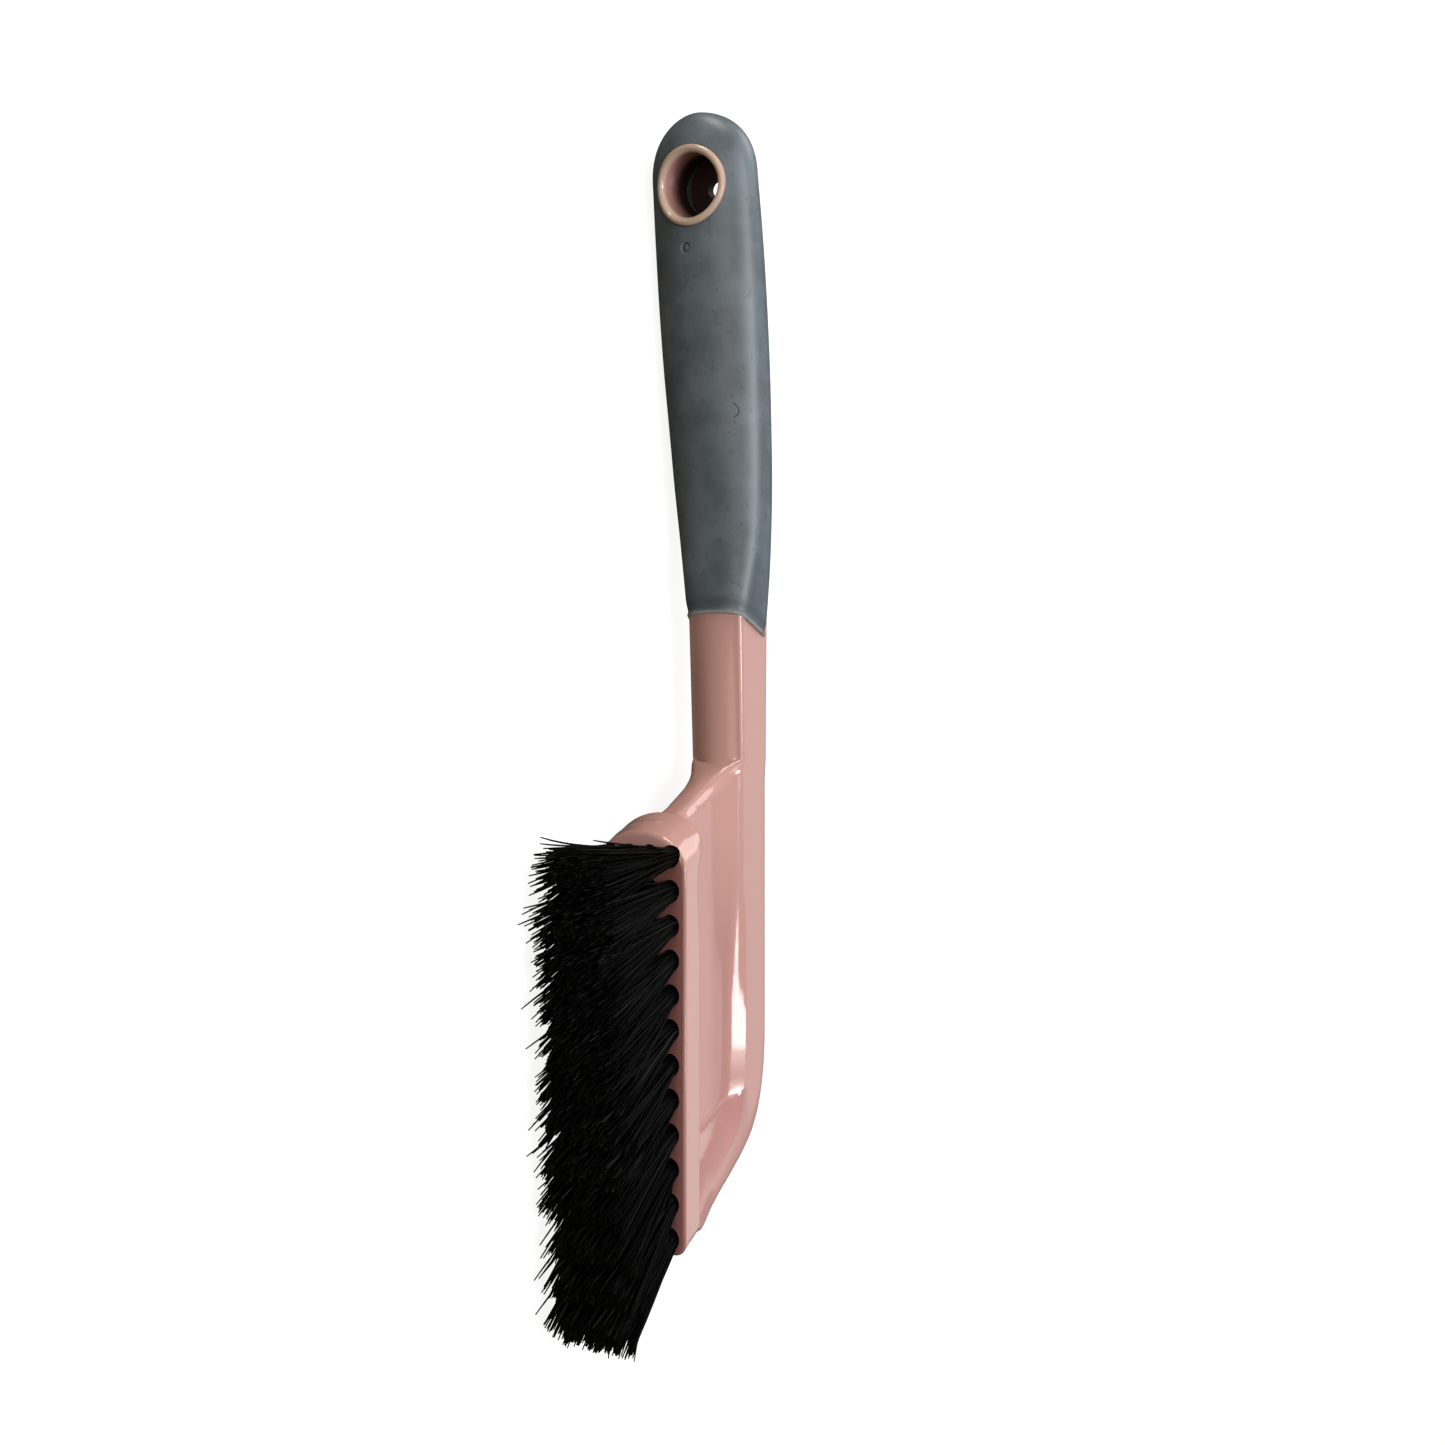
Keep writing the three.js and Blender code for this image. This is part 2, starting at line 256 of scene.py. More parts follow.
def finish_edges(obj, degrees):
    """Smooth shading that stays crisp where faces meet at more than the angle."""
    mesh = obj.data
    bm = bmesh.new()
    bm.from_mesh(mesh)
    bmesh.ops.dissolve_degenerate(bm, dist=2e-6, edges=bm.edges)
    bm.to_mesh(mesh)
    bm.free()
    mesh.polygons.foreach_set("use_smooth", [True] * len(mesh.polygons))
    mesh.set_sharp_from_angle(angle=math.radians(degrees))


# ---- handle, neck and hanging hole ---------------------------------------------------
def handle_at(x):
    """Centre height, half width, half thickness and squareness; the end is rounded off."""
    _, centre, wide, thick, square = along(HANDLE, max(x, HANDLE_START))
    short = max(0, HANDLE_START - x)
    cap = math.sqrt(max(0.0, 1 - clamp(short / CAP_LENGTH) ** CAP_POWER))
    thick *= CAP_FLAT * cap + (1 - CAP_FLAT) * math.sqrt(cap)
    return centre - short * CAP_DROP, wide * cap, thick, square


def handle_ring(x, inset, count, sheared):
    mid, wide, thick, square = handle_at(x)
    lean = GRIP_SHEAR * ease((x - SHEAR_START) / SHEAR_RUN) if sheared else 0
    ring = []
    for k in range(count):
        w = (k + 0.5) / count * math.tau
        z = power(math.cos(w), 2 / square) * (wide - inset)
        y = power(math.sin(w), 2 / square) * (thick - inset)
        ring.append((x + lean * (mid + y - NECK_LOW), mid + y, z))
    return ring


def handle_stations(first, last, step):
    """Places of the rings: close together over the rounded end, then evenly spaced."""
    swing = [1 - math.cos(k / CAP_STEPS * math.pi / 2) for k in range(CAP_STEPS + 1)]
    cap = [first + s * (HANDLE_START - first) for s in swing]
    count = math.ceil((last - HANDLE_START) / step)
    return cap + [lerp(HANDLE_START, last, k / count) for k in range(1, count + 1)]


def neck_crown(x):
    """How far the neck's underside bulges."""
    return lerp(NECK_CROWN_START, NECK_CROWN, ease((x - NECK_START) / CROWN_RUN))


def neck_ring(x):
    """The neck's own outline with a little air round it, for the slot in the sleeve."""
    t = (x - NECK_START) / (CREASE - NECK_START)
    half = lerp(NECK_HALF_START, NECK_HALF, t) + SLOT_AIR
    low = lerp(NECK_LOW_START, NECK_LOW, t) - SLOT_AIR
    high, r = SPINE + SLOT_AIR, RIDGE_NECK
    ring = []
    for side, y, turn in ((1, low + r, -90), (1, high - r, 0), (-1, high - r, 90), (-1, low + r, 180)):
        for k in range(8):
            a = math.radians(turn + 90 * k / 7)
            ring.append((x, y + math.sin(a) * r, side * (half - r) + math.cos(a) * r))
    for k in range(1, 12):
        share = 1 - k / 6
        ring.append((x, low - neck_crown(x) * (1 - share * share), -(half - r) * share))
    return ring


BORE = Vector((-math.sin(HOLE_TILT), math.cos(HOLE_TILT)))
ACROSS = Vector((math.cos(HOLE_TILT), math.sin(HOLE_TILT)))


def bore_point(r, depth, w):
    p = math.cos(w) * r
    return (
        HOLE_X + BORE.x * depth + ACROSS.x * p,
        HOLE_Y + BORE.y * depth + ACROSS.y * p,
        math.sin(w) * r,
    )


def surface_depth(w, r, side=-1):
    """Depth along the bore at which the grip's skin is met, at angle w and radius r."""
    depth = 0.0 if side < 0 else REAR_GUESS
    for _ in range(12):
        x, y, z = bore_point(r, depth, w)
        centre, wide, thick, square = handle_at(x)
        rise = thick * max(0.0, 1 - abs(z / wide) ** square) ** (1 / square)
        depth += (centre + side * rise - y) * 0.9
    return depth


def bore_lathe(profile, count, follow=0.0, side=-1):
    """Solid round the bore's line from (radius, depth) rows; `follow` bends it to the skin."""
    level, lip = (0.0, FRONT_LIP) if side < 0 else (REAR_SKIN, REAR_LIP)
    rings = []
    for r, depth in profile:
        ring = []
        for k in range(count):
            w = k / count * math.tau
            base = lerp(level, surface_depth(w, lip, side), follow)
            ring.append(bore_point(r, base + depth, w))
        rings.append(ring)
    return loft(rings)


def pipe(radius, first, last, count):
    """Plain round solid along the bore."""
    turns = [k / count * math.tau for k in range(count)]
    return loft([[bore_point(radius, depth, w) for w in turns] for depth in (first, last)])


# ---- neck and head -------------------------------------------------------------------
def spine_top(x):
    return SPINE if x <= TOE_CURVE[0][0] else along(TOE_CURVE, x)[1]


def rim_step(depth):
    """How far the web has grown out to the rim at a depth below the spine."""
    t = clamp((RIM_FOOT - depth) / RIM_RUN)
    if t < RIM_BEND:
        return RIM_STEEP * t * t
    return RIM_STEEP * (RIM_BEND * RIM_BEND + 2 * RIM_BEND * (t - RIM_BEND))


def head_half(x, y):
    """Half thickness of web, rim and toe at a point of the side view."""
    swell = NECK_HALF - WEB_HALF
    stepped = lerp(WEB_HALF, NECK_HALF, rim_step(spine_top(x) - y))
    slanted = WEB_HALF + swell * clamp((y - SLANT_FOOT) / SLANT_RUN) ** SLANT_POWER
    h = lerp(slanted, stepped, ease((x - HEEL_SWELL) / SWELL_RUN) ** SWELL_POWER)
    edge = POCKET_TOP[0] + POCKET_LEAN * (POCKET_TOP[1] - y)
    wall = math.sin(clamp((x - edge) * 0.9 / POCKET_WALL * 1.1) * math.pi / 2)
    outer = NECK_HALF + OUTER_SWELL * clamp(1 - y / OUTER_HEIGHT) ** OUTER_POWER
    widen = clamp(1 - (y - PLATE_THICK) / TOE_WIDEN_HEIGHT)
    outer = outer + ease((x - TOE_WIDEN) / TOE_WIDEN_RUN) * widen
    past = max(0.0, x - (TOE_LOW - TOE_LEAN * min(y, PLATE_THICK) - TOE_CORNER))
    corner = math.sqrt(max(0.0, TOE_CORNER**2 - past**2))
    edge_half = PLATE_HALF - TOE_CORNER + corner - EDGE_AIR
    return min(lerp(h, outer, wall), edge_half)


def head_stops():
    """Places of the sections: close together at the crease, the shoulder and the toe."""
    stops = [NECK_START, 118, 124, 130, 137, 144, 150, 154, 156]
    stops += [CREASE + k * 0.3 for k in range(8)]
    stops += [CREASE + 2.4 + k * 0.42 for k in range(32)]
    stops += [172.9 + k * 1.6 for k in range(33)]
    stops += [225.6 + k * 0.75 for k in range(54)]
    return stops


def head_section(x):
    """Outline across the neck or head: up one side, down the other and along the underside."""
    top = spine_top(x)
    neck_share = (x - NECK_START) / (CREASE - NECK_START)
    neck_low = lerp(NECK_LOW_START, NECK_LOW, clamp(neck_share))
    low = neck_low if x < CREASE else broken(SHOULDER, x)
    steep_low = 0 if x < CREASE else broken(SHOULDER, x + 0.5) - broken(SHOULDER, x - 0.5)
    steep_top = spine_top(x + 0.5) - spine_top(x - 0.5)
    flat_low, flat_top = (1 / math.hypot(1, s) for s in (steep_low, steep_top))
    flat_low, flat_crest = max(flat_low, LEAST_FLAT_LOW), max(flat_top, LEAST_FLAT_TOP)
    squeeze = min(1.0, (top - low) / FULL_HEIGHT)
    ridge = lerp(RIDGE_NECK, RIDGE_SHOULDER, ease((x - CREASE) / 3)) * squeeze
    crest = lerp(CREST_SPINE, CREST_TOE, ease((x - 225) / 20)) * squeeze
    heights = [low + share * ridge / flat_low for share in ROUNDING]
    ends = [top - share * crest / flat_crest for share in reversed(ROUNDING)]
    rim_low, rim_high = (
        clamp(top - d * squeeze, heights[-1] + 0.2, ends[0] - 0.3) for d in (RIM_START, RIM_END)
    )
    rim_high = max(rim_high, rim_low + 0.1)
    heights += [lerp(heights[-1], rim_low, k / 12) for k in range(1, 13)]
    heights += [lerp(rim_low, rim_high, k / 14) for k in range(1, 15)]
    heights += [lerp(rim_high, ends[0], k / 4) for k in range(1, 4)]
    heights += ends
    right = []
    for y in heights:
        h = lerp(NECK_HALF_START, NECK_HALF, neck_share) if x < CREASE else head_half(x, y)
        draw = round_off((y - low) * flat_low, ridge) + round_off((top - y) * flat_crest, crest)
        right.append((x, y, h - draw))
    wide = right[0][2]
    floor_line = []
    for k in range(1, 12):
        share = 1 - k / 6
        bulge = 1 - share * share
        under = min(neck_low - neck_crown(x) * bulge, low - SHOULDER_CROWN * bulge)
        if x >= CREASE + CROWN_FADE:
            fading = clamp(1 - (x - CREASE - CROWN_FADE) / CROWN_FADE)
            under = low - SHOULDER_CROWN * bulge * fading
        floor_line.append((x, under, -wide * share))
    return right + [(x, y, -h) for _, y, h in reversed(right)] + floor_line


def plate_height(x):
    return PLATE_THICK + HEEL_RISE * (1 - ease((x - HEEL_HIGH) / 16))


def plate_outline(share, inset, lift=0.0):
    """Plan of the bristle plate at a share of its height; inset is a function of x."""
    heel = lerp(HEEL_LOW, HEEL_HIGH, share)
    toe = TOE_LOW - TOE_LEAN * PLATE_THICK * share
    ring = []

    def arc(cx, cz, rx, rz, first, sweep, count):
        for k in range(count + 1):
            a = math.radians(first + sweep * k / count)
            nx, nz = math.cos(a) / rx, math.sin(a) / rz
            n = math.hypot(nx, nz)
            ring.append((cx + math.cos(a) * rx, cz + math.sin(a) * rz, nx / n, nz / n))

    def run(x0, x1, z):
        for k in range(1, 24):
            ring.append((lerp(x0, x1, k / 24), z, 0.0, math.copysign(1, z)))

    corner_x, corner_z = toe - TOE_CORNER, PLATE_HALF - TOE_CORNER
    arc(corner_x, corner_z, TOE_CORNER, TOE_CORNER, 0, 90, 16)
    run(corner_x, heel + HEEL_LENGTH, PLATE_HALF)
    arc(heel + HEEL_LENGTH, 0, HEEL_LENGTH, PLATE_HALF, 90, 180, 48)
    run(heel + HEEL_LENGTH, corner_x, -PLATE_HALF)
    arc(corner_x, -corner_z, TOE_CORNER, TOE_CORNER, 270, 90, 16)
    out = []
    for x, z, nx, nz in ring:
        d = inset(x)
        out.append((x - nx * d, plate_height(x) * share + lift, z - nz * d))
    return out


def plate_skin():
    """The plate's sides with both edges rounded, more softly at the heel."""
    quarter = [k / 8 * math.pi / 2 for k in range(9)]

    def lower(x):
        return lerp(1.5, 0.8, ease((x - 172) / 18))

    def soft(x):
        return lerp(1.8, 0.5, ease((x - 176) / 30))

    rings = []
    for a in quarter:
        ring = plate_outline(0.0, lambda x: lower(x) * (1 - math.sin(a)))
        rings.append([(x, y + lower(x) * (1 - math.cos(a)), z) for x, y, z in ring])
    for share in (0.4, 0.6):
        rings.append(plate_outline(share, lambda x: 0.0))
    for a in quarter:
        ring = plate_outline(1.0, lambda x: soft(x) * (1 - math.cos(a)))
        rings.append([(x, y - soft(x) * (1 - math.sin(a)), z) for x, y, z in ring])
    for a in quarter[1:]:
        lift = 5.0 * (1 - math.cos(a))
        rings.append(plate_outline(1.0, lambda x: lerp(soft(x), 8.2, math.sin(a)), lift))
    return loft(rings)


def tuft_places():
    """Name, place along the brush, place across it and lean of every tuft."""
    for row in range(TUFT_ROWS):
        for column in range(TUFT_COLUMNS):
            yield (
                f"{row + 1}_{column + 1:02d}",
                FIRST_TUFT + column * TUFT_PITCH,
                (row - (TUFT_ROWS - 1) / 2) * ROW_PITCH,
                math.radians(LEANS[column]),
            )


def tuft_holes():
    verts, faces = [], []
    turns = [k / 20 * math.tau for k in range(20)]
    for _, x, z, _ in tuft_places():
        rings = [
            [(x + math.cos(w) * TUFT_HOLE, y, z + math.sin(w) * TUFT_HOLE) for w in turns]
            for y in (-1, TUFT_DEEP)
        ]
        more_verts, more_faces = loft(rings)
        faces += [tuple(i + len(verts) for i in f) for f in more_faces]
        verts += more_verts
    return verts, faces


def make_body():
    core = [handle_ring(x, SLEEVE + GAP, 72, False) for x in handle_stations(CORE_START, CORE_END, 3)]
    body = solid("pink_moulding", loft(core))
    carve(body, solid("neck_and_head", loft([head_section(x) for x in head_stops()])), "UNION")
    carve(body, solid("plate", plate_skin()), "UNION")
    lip = [(9.5, 6.0), (9.58, 0.6), (9.55, 0.1), (9.42, -0.25), (9.15, -0.5), (8.8, -0.6), (8.4, -0.55),
           (8.1, -0.3), (6.0, -0.3)]
    rear = [(7.4, -6.0), (7.4, -0.4), (7.2, 0.05), (6.8, 0.3), (6.3, 0.3), (5.4, 0.1), (1.0, 0.1)]
    carve(body, solid("front_lip", bore_lathe(lip, 96, 0.8)), "UNION")
    carve(body, solid("rear_lip", bore_lathe(rear, 72, 0.8, 1)), "UNION")
    mouth = [(9.2, -1.6), (8.62, -0.62), (8.3, -0.52), (8.0, -0.3), (7.75, 0.05), (7.58, 0.5),
             (HOLE_WIDE, 1.2), (HOLE_WIDE, HOLE_STEP)]
    carve(body, solid("mouth", bore_lathe(mouth, 96, 0.8)), "DIFFERENCE")
    carve(body, solid("bore", pipe(HOLE_NARROW, HOLE_STEP - 2, 24, 48)), "DIFFERENCE")
    carve(body, solid("tuft_holes", tuft_holes()), "DIFFERENCE")
    finish_edges(body, 32)
    return body


def handle_drop(z):
    """Depth of the underside below the handle's centre line near the gate mark."""
    _, _, wide, thick, square = along(HANDLE, GATE[0])
    return thick * (1 - abs(z / wide) ** square) ** (1 / square)


def gate_skin():
    """Shallow dished ring pressed into the grip's underside."""
    centre = along(HANDLE, GATE[0])[1]
    profile = (
        (1.5, -0.6), (1.42, -0.06), (1.3, 0.1), (1.1, 0.2), (0.85, 0.2), (0.7, 0.08), (0.4, 0.02),
    )
    rings = []
    for r, deep in profile:
        ring = []
        for k in range(28):
            w = k / 28 * math.tau
            z = GATE[1] + math.sin(w) * r
            ring.append((GATE[0] + math.cos(w) * r, centre - handle_drop(z) + deep, z))
        rings.append(ring)
    return loft(rings)


def make_grip():
    shape = [(x, 0.0) for x in handle_stations(0.55, GRIP_END, 1.6) if x < GRIP_END - 5.5]
    shape += [(GRIP_END - back, deep) for back, deep in (
        (5.0, 0), (4.2, 0.03), (3.4, 0.1), (2.7, 0.2), (2.1, 0.28), (1.6, 0.3), (1.2, 0.24),
        (0.95, 0.14), (0.8, 0.08), (0.62, 0.06), (0.42, 0.12), (0.2, 0.24), (0.0, 0.4))]
    grip = solid("soft_sleeve", loft([handle_ring(x, deep, 128, True) for x, deep in shape]))
    inner = [handle_ring(x, SLEEVE, 72, False) for x in handle_stations(HOLLOW_START, HOLLOW_END, 3)]
    carve(grip, solid("inner", loft(inner)), "DIFFERENCE")
    slot = [neck_ring(x) for x in (108, *range(112, 141, 2))]
    carve(grip, solid("slot", loft(slot)), "DIFFERENCE")
    for radius, first, last in ((HOLE_RING + 0.1, -6, 9.3), (7.55, 8, 24)):
        carve(grip, solid("opening", pipe(radius, first, last, 72)), "DIFFERENCE")
    carve(grip, solid("gate_mark", gate_skin()), "DIFFERENCE")
    finish_edges(grip, 38)
    return grip


# ---- node trees ----------------------------------------------------------------------
class Flow:
    """A socket's value that can be used in sums."""

    def __init__(self, net, socket):
        self.net, self.socket = net, socket

    def math(self, operation, *others, **settings):
        values = {i: v for i, v in enumerate((self,) + others)}
        node = self.net.node("ShaderNodeMath", {"operation": operation, **settings}, values)
        return Flow(self.net, node.outputs[0])

    def __add__(self, other):
        return self.math("ADD", other)

    def __sub__(self, other):
        return self.math("SUBTRACT", other)

    def __mul__(self, other):
        return self.math("MULTIPLY", other)

    def __truediv__(self, other):
        return self.math("DIVIDE", other)

    def __pow__(self, other):
        return self.math("POWER", other)

    def __rsub__(self, other):
        node = self.net.node("ShaderNodeMath", {"operation": "SUBTRACT"}, {0: other, 1: self})
        return Flow(self.net, node.outputs[0])

    __radd__ = __add__
    __rmul__ = __mul__


class Net:
    """A node tree that is written from the top down."""

    def __init__(self, tree):
        self.tree = tree

    def node(self, kind, settings=None, sockets=None):
        node = self.tree.nodes.new(kind)
        for name, value in (settings or {}).items():
            if name == "stops":
                while len(node.color_ramp.elements) < len(value):
                    node.color_ramp.elements.new(0.5)
                for stop, (place, colour) in zip(node.color_ramp.elements, value):
                    stop.position, stop.color = place, colour
            else:
                setattr(node, name, value)
        for name, value in (sockets or {}).items():
            if isinstance(value, Flow):
                self.tree.links.new(value.socket, node.inputs[name])
            elif value is not None:
                node.inputs[name].default_value = value
        return node

    def flow(self, kind, output, settings=None, sockets=None):
        return Flow(self, self.node(kind, settings, sockets).outputs[output])


# ---- bristles ------------------------------------------------------------------------
def grow_tree():
    """One row of tufts: each fills a hole, bends at its mouth and fans out to its tips."""
    tree = bpy.data.node_groups.new("leaning_tufts", "GeometryNodeTree")
    face = tree.interface
    face.new_socket("Geometry", in_out="OUTPUT", socket_type="NodeSocketGeometry")
    inputs = (
        ("Holes", "NodeSocketGeometry"), ("Filaments", "NodeSocketInt"),
        ("Hole radius", "NodeSocketFloat"), ("Tip reach", "NodeSocketFloat"),
        ("Tip spread", "NodeSocketFloat"), ("Length", "NodeSocketFloat"),
        ("Thickness", "NodeSocketFloat"), ("Rooted", "NodeSocketFloat"),
        ("Seed", "NodeSocketInt"), ("Drift", "NodeSocketFloat"), ("Finish", "NodeSocketMaterial"),
    )
    for name, kind in inputs:
        face.new_socket(name, in_out="INPUT", socket_type=kind)
    net = Net(tree)
    given = net.node("NodeGroupInput")
    size = {name: Flow(net, given.outputs[name]) for name, _ in inputs}

    def keep(geometry, name, value, kind="FLOAT_VECTOR"):
        return net.flow("GeometryNodeStoreNamedAttribute", 0, {"data_type": kind, "domain": "POINT"},
                        {"Geometry": geometry, "Name": name, "Value": value})

    def recall(name):
        out = net.node("GeometryNodeInputNamedAttribute", {"data_type": "FLOAT_VECTOR"}, {"Name": name})
        parts = net.node("ShaderNodeSeparateXYZ", None, {0: Flow(net, out.outputs[0])})
        return [Flow(net, s) for s in parts.outputs]

    spot = net.flow("GeometryNodeInputPosition", 0)
    index = net.flow("GeometryNodeInputIndex", 0)
    holes = keep(size["Holes"], "foot", spot)
    copies = net.node("GeometryNodeDuplicateElements", {"domain": "POINT"},
                      {"Geometry": holes, "Amount": size["Filaments"]})
    points, number = (Flow(net, s) for s in copies.outputs)

    def whim(low, high, shift):
        return net.flow("FunctionNodeRandomValue", 0, {"data_type": "FLOAT_VECTOR"},
                        {0: (low,) * 3, 1: (high,) * 3, "ID": index, "Seed": size["Seed"] + shift})

    away = ((number + 0.5) / size["Filaments"]) ** 0.5
    turn = number * GOLDEN_TURN
    seat = net.flow("ShaderNodeCombineXYZ", 0, None,
                    {0: away * turn.math("COSINE"), 1: away * turn.math("SINE")})
    points = keep(points, "seat", seat)
    points = keep(points, "stray", whim(-1.0, 1.0, 11))
    points = keep(points, "whim", whim(-1.0, 1.0, 17))
    points = keep(points, "tone", whim(0.0, 1.0, 23))
    rod = net.flow("GeometryNodeMeshCylinder", 0, {"fill_type": "NGON"},
                   {"Vertices": 5, "Side Segments": 7, "Radius": 1.0, "Depth": 1.0})
    rod = keep(rod, "section", spot)
    many = net.flow("GeometryNodeInstanceOnPoints", 0, None, {"Points": points, "Instance": rod})
    real = net.flow("GeometryNodeRealizeInstances", 0, None, {"Geometry": many})

    seat_x, seat_z, _ = recall("seat")
    stray_x, stray_z, stray_l = recall("stray")
    wild_x, wild_z, curl = recall("whim")
    cut_x, cut_z, cut_s = recall("section")
    lean, drift, _ = recall("lie")
    length = size["Length"] * (1.0 + stray_l * LENGTH_VARIES)
    run = (cut_s + 0.5) * (length + size["Rooted"]) - size["Rooted"]
    out, inside = run.math("MAXIMUM", 0.0), run.math("MINIMUM", 0.0)
    share = out / length
    bend = share * share
    lean = lean + stray_x * STRAY_LEAN + wild_x * wild_x * wild_x * WILD_LEAN
    lean = lean + seat_x * FAN_LEAN + curl * bend * CURL_LEAN
    sin, cos = lean.math("SINE"), lean.math("COSINE")
    widen_x = size["Hole radius"] + (size["Tip reach"] - size["Hole radius"]) * share
    widen_z = size["Hole radius"] + (size["Tip spread"] - size["Hole radius"]) * share
    slim = size["Thickness"] * (1.0 - share**TIP_POWER * TIP_TAPER)
    aside = (stray_z * STRAY_ASIDE + wild_z * wild_z * wild_z * WILD_ASIDE) * out
    blend = (out * BEND_PER_METRE).math("MINIMUM", 1.0)
    side_x, side_y = (cos - 1.0) * blend + 1.0, sin * blend
    reach = seat_x * widen_x + cut_x * slim
    x = sin * out + reach * side_x
    y = reach * side_y - cos * out - inside
    z = seat_z * widen_z + aside + drift * share + size["Drift"] * share + cut_z * slim
    place = net.flow("ShaderNodeCombineXYZ", 0, None, {0: x, 1: y, 2: z})
    foot = net.flow("GeometryNodeInputNamedAttribute", 0, {"data_type": "FLOAT_VECTOR"},
                    {"Name": "foot"})
    spread = net.flow("ShaderNodeVectorMath", 0, {"operation": "ADD"}, {0: place, 1: foot})
    moved = net.flow("GeometryNodeSetPosition", 0, None, {"Geometry": real, "Position": spread})
    shown = net.flow("GeometryNodeSetMaterial", 0, None,
                     {"Geometry": moved, "Material": size["Finish"]})
    smooth = net.flow("GeometryNodeSetShadeSmooth", 0, None, {"Geometry": shown})
    net.node("NodeGroupOutput", None, {"Geometry": smooth})
    return tree


def grow_row(tree, row, finish):
    places = [p for p in tuft_places() if p[0].startswith(f"{row}_")]
    name = f"filaments_row_{row}"
    mesh = bpy.data.meshes.new(name)
    mesh.from_pydata([at(x, 0, z) for _, x, z, _ in places], [], [])
    lie = mesh.attributes.new("lie", "FLOAT_VECTOR", "POINT")
    for k, (_, x, z, lean) in enumerate(places):
        sway = 0.4 * math.sin(k * 2.1 + row * 1.7) * MM
        lie.data[k].vector = (lean + math.radians(1.6 * math.sin(k * 1.3 + row * 2.3)), sway, 0)
    holder = bpy.data.objects.new(name, mesh)
    bpy.context.scene.collection.objects.link(holder)
    grower = holder.modifiers.new("grow", "NODES")
    grower.node_group = tree
    wanted = {
        "Filaments": 104, "Hole radius": 2.25 * MM, "Tip reach": 4.5 * MM, "Tip spread": 3.3 * MM,
        "Length": BRISTLE * MM, "Thickness": 0.24 * MM, "Rooted": 3 * MM, "Seed": 100 + row * 37,
        "Drift": -0.1 * places[0][2] * MM, "Finish": finish,
    }
    for item in tree.interface.items_tree:
        if item.item_type == "SOCKET" and item.in_out == "INPUT" and item.name in wanted:
            grower[item.identifier] = wanted[item.name]
    holder.data.update()
    settle(holder)
    return holder, ["tuft_" + p[0] for p in places]


# ---- finishes ------------------------------------------------------------------------
def new_material(name):
    material = bpy.data.materials.new(name)
    material.use_nodes = True
    material.node_tree.nodes.clear()
    net = Net(material.node_tree)
    place = net.flow("ShaderNodeTexCoord", "Object")
    return material, net, place


def close_material(net, sockets, fixed):
    shader = net.node("ShaderNodeBsdfPrincipled", None, {**fixed, **sockets})
    out = net.node("ShaderNodeOutputMaterial")
    net.tree.links.new(shader.outputs[0], out.inputs[0])


def mix(net, factor, first, second):
    return net.flow("ShaderNodeMix", 2, {"data_type": "RGBA"}, {0: factor, 6: first, 7: second})


def noise(net, place, scale, detail=2.0, rough=0.5):
    return net.flow("ShaderNodeTexNoise", "Fac", None,
                    {"Vector": place, "Scale": scale, "Detail": detail, "Roughness": rough})


def brush_place(net, place):
    """The brush's own measures in millimetres as three values."""
    moved = net.flow("ShaderNodeVectorMath", 0, {"operation": "SUBTRACT"}, {0: place, 1: START})
    parts = net.node("ShaderNodeSeparateXYZ", None, {0: moved})
    return [Flow(net, out) * (1 / MM) for out in parts.outputs]


def fade(net, value, first, last):
    return net.flow("ShaderNodeMapRange", 0, {"interpolation_type": "SMOOTHSTEP"},
                    {0: value, 1: first, 2: last, 3: 0.0, 4: 1.0})


